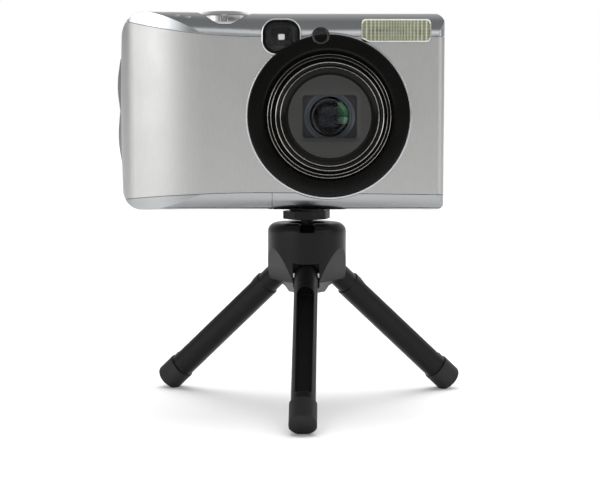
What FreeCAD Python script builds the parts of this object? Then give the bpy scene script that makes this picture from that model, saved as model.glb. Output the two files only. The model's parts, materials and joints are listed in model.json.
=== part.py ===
"""Pocket digital camera standing on a small tabletop tripod.

Lengths are millimetres and +Z is up.  The origin is on the floor, under the centre of
the whole object's box.  The camera looks along -Y.  "Hub" sizes are measured from the
tripod's centre line, and "camera" sizes from that line and from the camera's underside.
"""
import FreeCAD, Part
import math
import os
import re

from FreeCAD import Placement, Rotation, Vector
import Sketcher  # noqa: F401  registers the sketch objects

doc = FreeCAD.newDocument("camera_on_tripod")

# ---------------------------------------------------------------- driving sizes

SIZES = {
    # where things stand
    "hub_x": 4.13,
    "hub_y": 11.59,
    "camera_z": 58.1,
    # camera case
    "case_left": -55.0,
    "case_right": 39.6,
    "case_front": -12.5,
    "case_back": 13.6,
    "case_top": 57.0,
    "hump_top": 57.4,
    "case_wall": 0.9,
    "seam_gap": 0.12,
    "plate_back": -1.2,
    "frame_back": 5.8,
    "top_seam": 50.0,
    "bottom_seam": 5.2,
    # lens
    "lens_x": 6.2,
    "lens_z": 27.2,
    "rim_radius": 23.9,
    "bezel_radius": 23.4,
    "bezel_bore": 17.9,
    "bezel_front": 13.4,
    "outer_barrel_radius": 17.5,
    "outer_barrel_front": 21.0,
    "inner_barrel_radius": 15.1,
    "inner_barrel_front": 30.0,
    "barrel_wall": 0.9,
    "disc_radius": 11.6,
    "window_wide": 15.0,
    "window_high": 11.7,
    "window_corner": 0.9,
    "leaf_wide": 17.0,
    "leaf_high": 3.5,
    "leaf_thick": 0.25,
    "glass_radius": 6.6,
    # front furniture
    "finder_x": -7.4,
    "finder_z": 49.95,
    "finder_wide": 11.3,
    "finder_high": 10.3,
    "finder_corner": 4.0,
    "lamp_x": 3.9,
    "lamp_z": 50.15,
    "lamp_radius": 2.55,
    "flash_left": 15.6,
    "flash_bottom": 48.4,
    "flash_wide": 19.9,
    "flash_high": 6.6,
    # top controls
    "dial_x": -23.85,
    "dial_y": -2.7,
    "dial_z": 57.55,
    "dial_radius": 9.0,
    "dial_bore": 5.65,
    "dial_deep": 4.05,
    "lug_reach": 9.7,
    "release_radius": 5.4,
    "release_rise": 0.15,
    "power_x": -7.0,
    "power_y": 3.2,
    "power_radius": 2.7,
    # back controls
    "screen_left": -16.6,
    "screen_bottom": 2.6,
    "screen_wide": 54.0,
    "screen_high": 43.0,
    "wheel_x": -34.5,
    "wheel_z": 21.0,
    "wheel_radius": 9.0,
    "wheel_bore": 4.4,
    "set_radius": 4.1,
    "key_radius": 2.4,
    "key_play": 0.15,
    "key_rise": 0.5,
    # battery bay and ports
    "door_end": -10.1,
    "door_hinge_y": 4.6,
    "door_hinge_z": 1.15,
    "hinge_radius": 0.6,
    "knuckle_left": -46.5,
    "knuckle_long": 34.5,
    "battery_wide": 31.6,
    "battery_high": 44.6,
    "battery_thick": 7.8,
    "cover_bottom": 13.4,
    "cover_high": 30.6,
    # tripod hub
    "hub_radius": 11.6,
    "hub_bottom": 33.0,
    "hub_top": 53.9,
    "hub_round": 2.7,
    "slot_wide": 7.7,
    "pivot_reach": 9.2,
    "pivot_z": 39.2,
    "pivot_pin": 0.9,
    "pin_long": 9.4,
    "first_leg": -91.5,
    "leg_slope": 41.2,
    "leg_radius": 3.45,
    "leg_half_deep": 3.9,
    "leg_length": 48.6,
    "peg_radius": 2.6,
    "foot_end": 55.6,
    "foot_radius": 4.25,
    "foot_half_wide": 3.85,
    "foot_round": 0.9,
    # ball, stud and lock nut
    "ball_z": 48.4,
    "ball_radius": 5.2,
    "liner_thick": 1.0,
    "neck_radius": 1.9,
    "stud_radius": 3.17,
    "stud_reach": 5.0,
    "nut_bottom": 54.8,
    "nut_top": 57.45,
    "nut_long": 14.6,
    "nut_wide": 9.6,
    "nut_turn": 42.0,
    "pad_radius": 5.1,
}

sheet = doc.addObject("Spreadsheet::Sheet", "Sizes")
for row, (alias, amount) in enumerate(SIZES.items(), start=1):
    sheet.set(f"A{row}", alias)
    sheet.set(f"B{row}", str(amount))
    sheet.setAlias(f"B{row}", alias)
doc.recompute()


def size(text):
    """The value of a sum of sheet names and numbers."""
    total = sheet_expression(text)
    return float(sheet.evalExpression(total))


def sheet_expression(text):
    """Point the sheet names in a sum at the spreadsheet."""
    return re.sub(r"[a-z][a-z_]+", lambda word: "Sizes." + word.group(0)
                  if word.group(0) in SIZES else word.group(0), str(text))


# ---------------------------------------------------------------- shape helpers

SUBPARTS = []
AXES = {
    "x": Rotation(Vector(0, 1, 0), 90),
    "front": Rotation(Vector(1, 0, 0), 90),
    "back": Rotation(Vector(1, 0, 0), -90),
}


def on_camera(x, y, z):
    """A camera point as three sums for a placement."""
    return f"hub_x + ({x})", f"hub_y + ({y})", f"camera_z + ({z})"


def on_hub(x, y, z):
    """A tripod point as three sums for a placement."""
    return f"hub_x + ({x})", f"hub_y + ({y})", str(z)


def bind(item, **sums):
    """Tie properties of an object to the spreadsheet."""
    for name, text in sums.items():
        item.setExpression(name, sheet_expression(text))


def put(item, base, turn=None):
    """Place an object, its position tied to the spreadsheet."""
    item.Placement = Placement(Vector(), turn or Rotation())
    for letter, text in zip("xyz", base):
        item.setExpression(f".Placement.Base.{letter}", sheet_expression(text))
    return item


def box(name, wide, deep, high, corner, turn=None):
    item = doc.addObject("Part::Box", name)
    bind(item, Length=wide, Width=deep, Height=high)
    return put(item, corner, turn)


def rod(name, radius, length, base, turn=None):
    item = doc.addObject("Part::Cylinder", name)
    bind(item, Radius=radius, Height=length)
    return put(item, base, turn)


def cone(name, radius, far_radius, length, base, turn=None):
    item = doc.addObject("Part::Cone", name)
    bind(item, Radius1=radius, Radius2=far_radius, Height=length)
    return put(item, base, turn)


def ball(name, radius, centre):
    item = doc.addObject("Part::Sphere", name)
    bind(item, Radius=radius)
    return put(item, centre)


def cut(name, base, *tools):
    for number, tool in enumerate(tools, start=1):
        item = doc.addObject("Part::Cut", name if number == len(tools) else f"{name}_less_{number}")
        item.Base = base
        item.Tool = tool
        base = item
    return base


def fuse(name, *items):
    item = doc.addObject("Part::MultiFuse", name)
    item.Shapes = list(items)
    return item


def common(name, *items):
    base = items[0]
    for number, tool in enumerate(items[1:], start=1):
        item = doc.addObject("Part::Common", name if number == len(items) - 1 else f"{name}_in_{number}")
        item.Base = base
        item.Tool = tool
        base = item
    return base


def outline(corners):
    """Lines and arcs of a closed outline from (u, v) or (u, v, radius) corners."""
    points = [Vector(corner[0], corner[1], 0) for corner in corners]
    radii = [corner[2] if len(corner) > 2 else 0.0 for corner in corners]
    starts, ends, arcs = [], [], []
    for number, point in enumerate(points):
        before = (points[number - 1] - point).normalize()
        after = (points[(number + 1) % len(points)] - point).normalize()
        if not radii[number]:
            starts.append(point)
            ends.append(point)
            arcs.append(None)
            continue
        half = before.getAngle(after) / 2
        reach = radii[number] / math.tan(half)
        middle = point + (before + after).normalize() * (radii[number] / math.sin(half) - radii[number])
        starts.append(point + before * reach)
        ends.append(point + after * reach)
        arcs.append(Part.Arc(starts[-1], middle, ends[-1]))
    geometry = []
    for number in range(len(points)):
        if arcs[number]:
            geometry.append(arcs[number])
        following = (number + 1) % len(points)
        if (ends[number] - starts[following]).Length > 1e-6:
            geometry.append(Part.LineSegment(ends[number], starts[following]))
    return geometry


def origin_plane(body, role):
    return next(item for item in body.Origin.OriginFeatures if item.Role == role)


def new_body(name, base, turn=None):
    body = doc.addObject("PartDesign::Body", name)
    put(body, base, turn)
    return body


def new_sketch(body, role, geometry, lift=0.0):
    sketch = body.newObject("Sketcher::SketchObject", f"{body.Name}_sketch")
    sketch.AttachmentSupport = [(origin_plane(body, role), "")]
    sketch.MapMode = "FlatFace"
    sketch.AttachmentOffset = Placement(Vector(0, 0, lift), Rotation())
    sketch.addGeometry(geometry, False)
    return sketch


def prism(name, role, corners, start, length, base):
    """Pad an outline.  XZ outlines run from y = start towards +Y, YZ ones towards +X, XY ones up."""
    body = new_body(name, base)
    sides = -1 if role == "XZ_Plane" else 1
    sketch = new_sketch(body, role, outline(corners), sides * size(start))
    pad = body.newObject("PartDesign::Pad", f"{name}_pad")
    pad.Profile = sketch
    pad.Reversed = role == "XZ_Plane"
    bind(pad, Length=length)
    return body


def turned(name, corners, base, turn=None):
    """Revolve a (radius, height) outline about the body's own Z axis."""
    body = new_body(name, base, turn)
    sketch = new_sketch(body, "XZ_Plane", outline(corners))
    round_part = body.newObject("PartDesign::Revolution", f"{name}_turned")
    round_part.Profile = sketch
    round_part.ReferenceAxis = (sketch, ["V_Axis"])
    round_part.Angle = 360
    return body


def block(wide, high, radius, middle_u=0.0, middle_v=0.0):
    """Corners of a rounded rectangle."""
    half_u, half_v = wide / 2, high / 2
    signs = ((-1, -1), (1, -1), (1, 1), (-1, 1))
    return [(middle_u + su * half_u, middle_v + sv * half_v, radius) for su, sv in signs]


def tube(inner, outer, back, front, edge=0.0):
    """Corners of a plain ring's section, with its front edges rounded."""
    return [(inner, back), (outer, back), (outer, front, edge), (inner, front, edge)]


def keep(item, label):
    """Mark an object as a finished sub-part."""
    item.Label = label
    SUBPARTS.append(item)
    return item


# ---------------------------------------------------------------- camera case

CAMERA = on_camera(0, 0, 0)
LENS = on_camera("lens_x", 0, "lens_z")
DIAL = on_camera("dial_x", "dial_y", "dial_z")


def side_section(name, x, inset, top, top_round, bottom_round):
    """One rounded section of the case at a given x."""
    front = size("case_front") + inset
    back = size("case_back") - inset
    corners = [
        (front, inset, bottom_round - inset),
        (back, inset, 3.0 - inset),
        (back, top - inset, 3.5 - inset),
        (front, top - inset, top_round - inset),
    ]
    sketch = doc.addObject("Sketcher::SketchObject", name)
    sketch.addGeometry(outline(corners), False)
    turn = Rotation(Vector(0, 1, 0), Vector(0, 0, 1), Vector(1, 0, 0), "XYZ")
    return put(sketch, on_camera(x, 0, 0), turn)


def envelope(name, inset):
    """The case's outer form, shrunk all round by inset: section, plan and front view together."""
    hump, top = size("hump_top"), size("case_top")
    sections = (
        (-56.0, hump, 3.2, 3.0),
        (-34.0, hump, 6.4, 5.0),
        (-13.0, top, 7.0, 5.2),
        (41.0, top, 7.0, 4.6),
    )
    loft = doc.addObject("Part::Loft", f"{name}_sides")
    loft.Sections = [side_section(f"{name}_section_{number}", x, inset, high, upper, lower)
                     for number, (x, high, upper, lower) in enumerate(sections)]
    loft.Solid = True
    loft.Ruled = True
    left, right = size("case_left") + inset, size("case_right") - inset
    front, back = size("case_front") - 0.05 + inset, size("case_back") + 0.05 - inset
    plan = prism(f"{name}_plan", "XY_Plane", [
        (right, front, 2.5 - inset),
        (left + 14.9, front, 46.0 - inset),
        (left, front + 8.1, 8.7 - inset),
        (left, back, 7.5 - inset),
        (right, back, 4.0 - inset),
    ], -2, 64, CAMERA)
    face = prism(f"{name}_face", "XZ_Plane", [
        (left + 0.9, inset - 0.05, 6.0 - inset),
        (right, inset - 0.05, 2.5 - inset),
        (right, top + 0.05 - inset, 3.5 - inset),
        (-13.0, top + 0.05 - inset, 30.0),
        (-34.0, hump + 0.05 - inset, 30.0),
        (left + 1.0, hump + 0.05 - inset, 7.5 - inset),
        (left - 0.05, 29.0, 190.0),
    ], -20, 40, CAMERA)
    return common(name, loft, plan, face)


case_solid = envelope("case_solid", 0.0)
case_hollow = envelope("case_hollow", size("case_wall"))
case_shell = cut("case_shell", case_solid, case_hollow)


def seam_region(name, low, high, start, length):
    """The band between the two seams, its upper and lower edges moved by low and high."""
    upper = size("top_seam") + high
    lower = size("bottom_seam") + low
    corners = [
        (45.0, lower - 0.65), (45.0, upper), (-33.0, upper, 163.0), (-60.0, upper + 6.4),
        (-60.0, lower - 3.0), (-32.6, lower, 342.0), (-8.0, lower, 300.0),
    ]
    return prism(name, "XZ_Plane", corners, start, length, CAMERA)


gap = size("seam_gap")
plate_zone = seam_region("plate_zone", gap / 2, -gap / 2, -20, f"20 + ({size('plate_back')})")
trim_zone = seam_region("trim_zone", gap / 2, -gap / 2, "plate_back + seam_gap",
                        "frame_back - plate_back - 2 * seam_gap")
band_hole = seam_region("band_hole", -gap / 2, gap / 2, -21, 40)
band_slab = box("band_slab", 110, "20 + frame_back", 70, on_camera(-60, -20, -4))
lens_hole = rod("lens_hole", "rim_radius + 0.08", 14, on_camera("lens_x", -6, "lens_z"), AXES["front"])


def finder_prism(name, grow, start, length):
    corners = block(size("finder_wide") + 2 * grow, size("finder_high") + 2 * grow,
                    size("finder_corner") + grow, size("finder_x"), size("finder_z"))
    return prism(name, "XZ_Plane", corners, start, length, CAMERA)


def flash_prism(name, grow, start, length):
    middle_x = size("flash_left") + size("flash_wide") / 2
    middle_z = size("flash_bottom") + size("flash_high") / 2
    corners = block(size("flash_wide") + 2 * grow, size("flash_high") + 2 * grow,
                    1.2 + grow, middle_x, middle_z)
    return prism(name, "XZ_Plane", corners, start, length, CAMERA)


finder_hole = finder_prism("finder_hole", 0.06, -20, 12)
flash_hole = flash_prism("flash_hole", 0.06, -20, 14)
lamp_hole = rod("lamp_hole", "lamp_radius + 0.06", 16, on_camera("lamp_x", -4, "lamp_z"), AXES["front"])
FRONT_HOLES = (lens_hole, finder_hole, flash_hole, lamp_hole)
sleeve_hole = rod("sleeve_hole", 19.6, 14, on_camera("lens_x", -6, "lens_z"), AXES["front"])

front_plate = keep(cut("plate_shape", common("plate_blank", case_shell, plate_zone), sleeve_hole, finder_hole,
                       flash_hole, lamp_hole), "front_plate")

# top cover: the bright band and top, with the seat of the zoom dial sunk into it
top_half = box("top_half", 110, 60, 40, on_camera(-60, -30, 30))
bands = cut("bands", common("band_blank", case_shell, band_slab), band_hole)
seat = common("seat_in_case", rod("seat", "dial_radius + 1.2", "dial_deep + 1.1", on_camera(
    "dial_x", "dial_y", "dial_z - dial_deep - 1.1")), case_solid, band_slab)
seat_hole = rod("seat_hole", "dial_radius + 0.2", 8, on_camera(
    "dial_x", "dial_y", "dial_z - dial_deep - 0.05"))
stem_hole = rod("stem_hole", 2.6, 8, on_camera("dial_x", "dial_y", "dial_z - 9"))
power_hole = rod("power_hole", "power_radius + key_play", 6, on_camera("power_x", "power_y", 53))
top_blank = common("top_blank", bands, top_half)
keep(cut("top_shape", fuse("top_with_seat", top_blank, seat), seat_hole, stem_hole, power_hole,
         band_hole, *FRONT_HOLES), "top_cover")

# underside: a fixed band, and the battery door at the left
bottom_half = box("bottom_half", 110, 60, 30, on_camera(-60, -30, -4))
bottom_band = common("bottom_band", bands, bottom_half)
door_side = box("door_side", 60, 60, 30, on_camera("door_end - 60 - seam_gap / 2", -30, -4))
fixed_side = box("fixed_side", 70, 60, 30, on_camera("door_end + seam_gap / 2", -30, -4))
bush_hole = rod("bush_hole", 4.6, 6, on_camera(0, 0, -2))
FOOT_PAD_X = (-45.5, 35.4)
foot_pads = [
    turned(f"foot_pad_{number}", [(0, 0.2), (1.65, 0.2), (1.65, -0.35, 0.3), (0, -0.35)],
           on_camera(x, -2, 0))
    for number, x in enumerate(FOOT_PAD_X)
]
keep(cut("bottom_shape", fuse("bottom_with_pad", common("bottom_blank", bottom_band, fixed_side),
                              foot_pads[1]), bush_hole, *FRONT_HOLES), "bottom_cover")

door_top = box("door_top", 60, 30, 10, on_camera("door_end - 60", -20, 5.9))
door_back = box("door_back", 60, 10, 10, on_camera("door_end - 60", "door_hinge_y", -2))
knuckle = rod("door_knuckle", "door_hinge_z", "knuckle_long",
              on_camera("knuckle_left", "door_hinge_y", "door_hinge_z"), AXES["x"])
knuckle_hole = rod("knuckle_hole", "hinge_radius + 0.05", "knuckle_long + 4.5",
                   on_camera("knuckle_left - 0.5", "door_hinge_y", "door_hinge_z"), AXES["x"])
door_blank = cut("door_blank", common("door_side_band", bottom_band, door_side), door_back, door_top)
keep(cut("door_shape", fuse("door_with_knuckle", door_blank, knuckle, foot_pads[0]), knuckle_hole,
         lens_hole), "battery_door")
keep(rod("door_pin", "hinge_radius", "knuckle_long + 1.7",
         on_camera("knuckle_left - 0.2", "door_hinge_y", "door_hinge_z"), AXES["x"]), "door_hinge_pin")

# side trims between the front plate and the back
trims = common("trims", case_shell, trim_zone)
right_side = box("right_side", 30, 60, 70, on_camera(25, -30, -4))
left_side = box("left_side", 30, 60, 70, on_camera(-65, -30, -4))
strap_cup = box("strap_cup", 6, 4.0, 8.0, on_camera("case_right - 2.2", 0.3, 23.0))
SCREW_HEIGHTS = (6.5, 15.2, 39.8, 48.9)
screws = [turned(f"case_screw_{number}", [(0, -1.6), (0.95, -1.6), (0.95, 0.1), (0.65, 0.35, 0.25),
                                          (0, 0.35)], on_camera("case_right", 2.3, z), AXES["x"])
          for number, z in enumerate(SCREW_HEIGHTS)]
keep(fuse("screw_set", *screws), "case_screws")
strap_bar = rod("strap_bar", 0.7, 8.2, on_camera("case_right - 1.1", 2.3, 22.9))
trim_with_cup = cut("trim_with_cup", common("right_trim_blank", trims, right_side), strap_cup, *screws)
keep(fuse("right_trim_shape", trim_with_cup, strap_bar), "right_trim")
cover_hole = box("cover_hole", 12, 5.2, "cover_high + 0.2", on_camera(-62, -0.3, "cover_bottom - 0.1"))
keep(cut("left_trim_shape", common("left_trim_blank", trims, left_side), cover_hole), "left_trim")

# port cover with two shallow swells
cover_mid = size("cover_bottom") + size("cover_high") / 2
cover_top = size("cover_bottom") + size("cover_high")
swell = 31.0
cover_corners = [
    (-53.9, size("cover_bottom")), (-54.8, size("cover_bottom")),
    (-56.0, size("cover_bottom") + 7.6, swell), (-55.15, cover_mid), (-56.2, cover_top - 7.6, swell),
    (-54.9, cover_top), (-53.9, cover_top),
]
keep(prism("cover_shape", "XZ_Plane", cover_corners, 0.0, 4.8, CAMERA), "port_cover")
keep(box("socket_block", 4.4, 4.4, 9.0, on_camera(-53.4, 0.1, 31.0)), "usb_socket")

# back cover with its openings
back_zone = box("back_zone", 110, 20, 70, on_camera(-60, "frame_back + seam_gap", -4))
screen_middle = (size("screen_left") + size("screen_wide") / 2,
                 size("screen_bottom") + size("screen_high") / 2)


def screen_prism(name, grow, start, length):
    corners = block(size("screen_wide") + 2 * grow, size("screen_high") + 2 * grow, 2.2 + grow,
                    *screen_middle)
    return prism(name, "XZ_Plane", corners, start, length, CAMERA)


KEYS = {
    "share_key": (-44.2, 38.0),
    "playback_key": (-25.0, 38.0),
    "display_key": (-44.2, 6.0),
    "menu_key": (-25.0, 6.0),
}
back_holes = [
    screen_prism("screen_hole", 0.06, 10, 6),
    rod("wheel_hole", "wheel_radius + key_play", 6, on_camera("wheel_x", 10, "wheel_z"), AXES["back"]),
    prism("switch_hole", "XZ_Plane", block(11.0, 2.6, 1.2, -34.5, 49.5), 10, 6, CAMERA),
    prism("eye_hole", "XZ_Plane", block(9.2, 6.2, 2.0, -5.0, 50.9), 8, 8, CAMERA),
]
for label, (key_x, key_z) in KEYS.items():
    back_holes.append(rod(f"{label}_hole", "key_radius + key_play", 6, on_camera(key_x, 10, key_z),
                          AXES["back"]))
keep(cut("back_shape", common("back_blank", case_shell, back_zone), *back_holes, seat_hole), "rear_cover")


# ---------------------------------------------------------------- lens

rim_section = [(18.5, 9.5), (size("rim_radius"), 9.5), (size("rim_radius"), 12.9, 0.25), (18.5, 12.9)]
keep(cut("rim_shape", turned("rim_blank", rim_section, LENS, AXES["front"]), finder_hole, lamp_hole,
         flash_hole, front_plate), "lens_rim")
bezel_front = size("bezel_front")
bezel_section = [
    (size("bezel_bore"), 12.9), (size("bezel_radius"), 12.9), (size("bezel_radius"), bezel_front, 0.3),
    (size("bezel_bore") + 0.5, bezel_front), (size("bezel_bore"), bezel_front - 0.4),
]
bezel_trim = box("bezel_trim", 60, 10, 20, on_camera("lens_x - 30", -18, -14.9))
keep(cut("bezel_shape", turned("bezel_blank", bezel_section, LENS, AXES["front"]), bezel_trim,
         finder_hole, lamp_hole, flash_hole), "lens_bezel")

outer_front = size("outer_barrel_front")
outer = size("outer_barrel_radius")
wall = size("barrel_wall")
keep(turned("outer_barrel", [
    (outer - wall, 2.5), (outer, 2.5), (outer, outer_front, 0.4), (15.4, outer_front, 0.3),
    (15.4, outer_front - 1.4), (outer - wall, outer_front - 1.4),
], LENS, AXES["front"]), "outer_barrel")

inner_front = size("inner_barrel_front")
inner = size("inner_barrel_radius")
keep(turned("inner_barrel", tube(inner - wall, inner, 10.5, inner_front, 0.3), LENS, AXES["front"]),
     "inner_barrel")
keep(turned("front_ring", tube(size("disc_radius") + 0.05, inner - wall - 0.02, 28.9, 29.8, 0.2),
            LENS, AXES["front"]), "front_ring")
disc = turned("disc_blank", [(0, 29.0), (size("disc_radius"), 29.0), (size("disc_radius"), 29.5), (0, 29.5)],
              LENS, AXES["front"])
window = prism("disc_window", "XZ_Plane",
               block(size("window_wide"), size("window_high"), size("window_corner"),
                     size("lens_x"), size("lens_z")),
               -32, 6, CAMERA)
keep(cut("disc_shape", disc, window), "barrier_frame")


def leaf(label, side, depth):
    """One of the four blades that close the lens window, shown open."""
    low = size("window_high") / 2 + 0.15
    base = low if side > 0 else -low - size("leaf_high")
    return keep(box(f"{label}_shape", "leaf_wide", "leaf_thick", "leaf_high", on_camera(
        "lens_x - leaf_wide / 2", -depth, f"lens_z + {base}")), label)


leaf("upper_leaf_near", 1, 28.7)
leaf("upper_leaf_far", 1, 28.35)
leaf("lower_leaf_near", -1, 28.7)
leaf("lower_leaf_far", -1, 28.35)

glass = size("glass_radius")
bore = inner - wall - 0.02
keep(turned("lens_cell", [
    (bore, 21.0), (bore, 27.9), (10.4, 27.9), (9.6, 27.0), (7.4, 27.0), (7.1, 26.5), (5.6, 26.1),
    (5.6, 25.9), (glass, 25.9), (glass, 22.5), (5.6, 22.5), (5.6, 21.0),
], LENS, AXES["front"]), "lens_cell")
keep(turned("front_lens", [(0, 22.55), (glass - 0.02, 22.9), (glass - 0.02, 25.0), (3.6, 25.75), (0, 25.88)],
            LENS, AXES["front"]), "front_lens")
keep(cut("housing_shape", turned("housing_blank", [
    (18.0, 9.3), (19.5, 9.3), (19.5, -8.2), (0, -8.2), (0, -7.0), (18.0, -7.0),
], LENS, AXES["front"]), box("sensor_window", 8.2, 4, 6.2, on_camera("lens_x - 4.1", 5, "lens_z - 3.1"))),
     "lens_housing")
keep(box("sensor_shape", 10.0, 1.3, 8.0, on_camera("lens_x - 5", 8.25, "lens_z - 4")), "image_sensor")

# ---------------------------------------------------------------- viewfinder, lamp and flash

finder_body = finder_prism("finder_body", 0.0, -13.1, 3.3)
finder_well = finder_prism("finder_well", -0.9, -14, 2.4)
finder_bore = rod("finder_bore", 1.6, 12, on_camera("finder_x", 0, "finder_z"), AXES["front"])
keep(cut("finder_frame_shape", finder_body, finder_well, finder_bore), "viewfinder_frame")
keep(finder_prism("finder_window", -0.95, -12.7, 0.7), "viewfinder_window")
eye_frame = prism("eye_frame", "XZ_Plane", block(9.0, 6.0, 1.9, -5.0, 50.9), 8.2, 5.5, CAMERA)
eye_well = prism("eye_well", "XZ_Plane", block(6.6, 3.8, 1.0, -5.0, 50.9), 12.6, 3, CAMERA)
keep(cut("eyepiece_shape", eye_frame, eye_well), "viewfinder_eyepiece")
keep(turned("lamp_shape", [(0, 9.0), (size("lamp_radius"), 9.0), (size("lamp_radius"), 13.6, 0.25),
                           (1.9, 13.6), (1.7, 13.3), (0, 13.3)],
            on_camera("lamp_x", 0, "lamp_z"), AXES["front"]), "focus_lamp")

flash_window = flash_prism("flash_window_blank", 0.0, -12.75, 1.2)
keep(cut("flash_window_shape", flash_window, lens_hole), "flash_window")
flash_cup = flash_prism("flash_cup", -0.6, -11.5, 5.0)
flash_trough = prism("flash_trough", "YZ_Plane", [(-11.6, 49.7), (-7.3, 51.0, 0.9), (-7.3, 52.4, 0.9),
                                                  (-11.6, 53.7)],
                     "flash_left + 1.4", "flash_wide - 2.8", CAMERA)
keep(cut("flash_reflector_shape", flash_cup, flash_trough, lens_hole), "flash_reflector")

# ---------------------------------------------------------------- top controls

dial_low = -size("dial_deep")
dial_ring = turned("dial_ring", [
    (size("dial_bore"), dial_low), (size("dial_radius"), dial_low, 0.2), (size("dial_radius"), -1.3, 0.4),
    (size("dial_bore") + 0.55, 0.0, 0.25), (size("dial_bore"), -0.35),
], DIAL)
lug = prism("zoom_lug", "XY_Plane", [
    (-1.5, -8.6), (-0.45, -size("lug_reach"), 0.3), (0.45, -size("lug_reach"), 0.3), (1.5, -8.6), (0, -7.0),
], -2.5, 1.7, DIAL)
keep(fuse("zoom_ring_shape", dial_ring, lug), "zoom_ring")
release_top = size("release_rise")
keep(turned("release_shape", [
    (0, dial_low - 1.6), (2.2, dial_low - 1.6), (2.2, dial_low + 0.9),
    (size("release_radius"), dial_low + 0.9), (size("release_radius"), release_top - 0.35, 0.3),
    (3.2, release_top, 8.0), (0, release_top + 0.1),
], DIAL), "shutter_button")
keep(turned("power_shape", [(0, -3.2), (1.5, -3.2), (1.5, -1.2), (size("power_radius"), -1.2),
                            (size("power_radius"), -0.05, 0.2), (0, -0.25)],
            on_camera("power_x", "power_y", "case_top")), "power_button")

# ---------------------------------------------------------------- back controls

keep(screen_prism("screen_window", 0.0, 12.85, 0.85), "screen_window")
keep(box("screen_panel", "screen_wide - 4", 2.3, "screen_high - 4", on_camera(
    "screen_left + 2", 10.4, "screen_bottom + 2")), "screen_panel")
keep(turned("wheel_shape", [
    (size("wheel_bore"), 11.5), (size("wheel_radius"), 11.5), (size("wheel_radius"), 13.85, 0.3),
    (size("wheel_bore") + 1.2, 13.65), (size("wheel_bore"), 13.95, 0.2),
], on_camera("wheel_x", 0, "wheel_z"), AXES["back"]), "control_wheel")
keep(turned("set_shape", [(0, 10.6), (size("set_radius"), 10.6), (size("set_radius"), 14.15, 0.3),
                          (0, 14.3)], on_camera("wheel_x", 0, "wheel_z"), AXES["back"]), "set_button")
for label, (key_x, key_z) in KEYS.items():
    top = size("case_back") + size("key_rise")
    keep(turned(f"{label}_shape", [(0, 11.2), (size("key_radius"), 11.2), (size("key_radius"), top, 0.25),
                                   (0, top + 0.1)], on_camera(key_x, 0, key_z), AXES["back"]), label)
keep(prism("switch_knob", "XZ_Plane", block(4.4, 2.3, 0.9, -34.5, 49.5), 11.4, 2.8, CAMERA), "mode_switch")

# ---------------------------------------------------------------- inside the case

keep(box("battery_shape", "battery_wide", "battery_thick", "battery_high", on_camera(-48.4, -6.4, 6.0)),
     "battery")
keep(box("card_shape", 24.0, 2.1, 32.0, on_camera(-45, 2.9, 7.0)), "memory_card")
keep(box("board_shape", 35.0, 1.2, 42.0, on_camera(-50, 6.7, 8.0)), "main_board")
keep(turned("bush_shape", [(size("stud_radius") + 0.05, 0), (4.5, 0), (4.5, 1.0), (5.6, 1.0), (5.6, 3.0),
                           (4.5, 3.0), (4.5, 6.6), (0, 6.6), (0, 5.6), (size("stud_radius") + 0.05, 5.6)],
            CAMERA), "tripod_bush")

# ---------------------------------------------------------------- tripod hub

HUB_AXIS = on_hub(0, 0, 0)


def leg_azimuth(number):
    return size("first_leg") + 120 * number


def along(azimuth, distance):
    """Sums for a horizontal step from the hub's centre line."""
    angle = math.radians(azimuth)
    return distance * math.cos(angle), distance * math.sin(angle)


pins = []
for number in range(3):
    azimuth = leg_azimuth(number)
    start = on_hub(*(a - b for a, b in zip(along(azimuth, size("pivot_reach")),
                                           along(azimuth + 90, size("pin_long") / 2))), "pivot_z")
    turn = Rotation(Vector(0, 0, 1), azimuth).multiply(Rotation(Vector(1, 0, 0), -90))
    pins.append(rod(f"pin_{number}", "pivot_pin", "pin_long", start, turn))
keep(fuse("pin_set", *pins), "leg_pins")

hub_blank = turned("hub_blank", [(0, size("hub_bottom")), (size("hub_radius"), size("hub_bottom")),
                                 (size("hub_radius"), size("hub_top"), size("hub_round")),
                                 (0, size("hub_top"))], HUB_AXIS)
hub_cuts = []
slot_round = size("leg_radius") + 0.4
for number in range(3):
    azimuth = leg_azimuth(number)
    level = Rotation(Vector(0, 0, 1), azimuth)
    pivot_x, pivot_y = along(azimuth, size("pivot_reach"))
    side_x, side_y = along(azimuth + 90, -size("slot_wide") / 2)
    pin_turn = level.multiply(Rotation(Vector(1, 0, 0), -90))
    hub_cuts.append(rod(f"slot_roof_{number}", slot_round, "slot_wide",
                        on_hub(pivot_x + side_x, pivot_y + side_y, "pivot_z"), pin_turn))
    hub_cuts.append(box(f"slot_{number}", 12, "slot_wide", 14,
                        on_hub(*(a + b for a, b in zip(along(azimuth, size("pivot_reach") - slot_round),
                                                       (side_x, side_y))), "pivot_z - 14"), level))
    facet = azimuth + 60
    facet_turn = Rotation(Vector(0, 0, 1), facet).multiply(Rotation(Vector(0, 1, 0), 16.7))
    base_x, base_y = along(facet, size("hub_radius"))
    wing_x, wing_y = along(facet + 90, -15)
    hub_cuts.append(box(f"facet_{number}", 20, 30, 30, on_hub(
        base_x + wing_x, base_y + wing_y, 46.6), facet_turn.multiply(Rotation(Vector(0, 1, 0), 90))))
    toe_turn = Rotation(Vector(0, 0, 1), facet).multiply(Rotation(Vector(0, 1, 0), 45 + 90))
    toe_x, toe_y = along(facet, 8.2)
    hub_cuts.append(box(f"toe_{number}", 20, 30, 20, on_hub(toe_x + wing_x, toe_y + wing_y, 37.2), toe_turn))
ball_room = ball("ball_room", "ball_radius + liner_thick + 0.15", on_hub(0, 0, "ball_z"))
mouth = cone("mouth", "ball_radius - 1.4", "ball_radius + 0.4", "hub_top - ball_z - 2",
             on_hub(0, 0, "ball_z + 2.05"))
notch = prism("notch", "XY_Plane", [(-2.2, -14), (2.2, -14), (2.2, 0), (-2.2, 0)], 51.5, 5, HUB_AXIS)
hub_cuts += [ball_room, mouth, notch, *pins]
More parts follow.
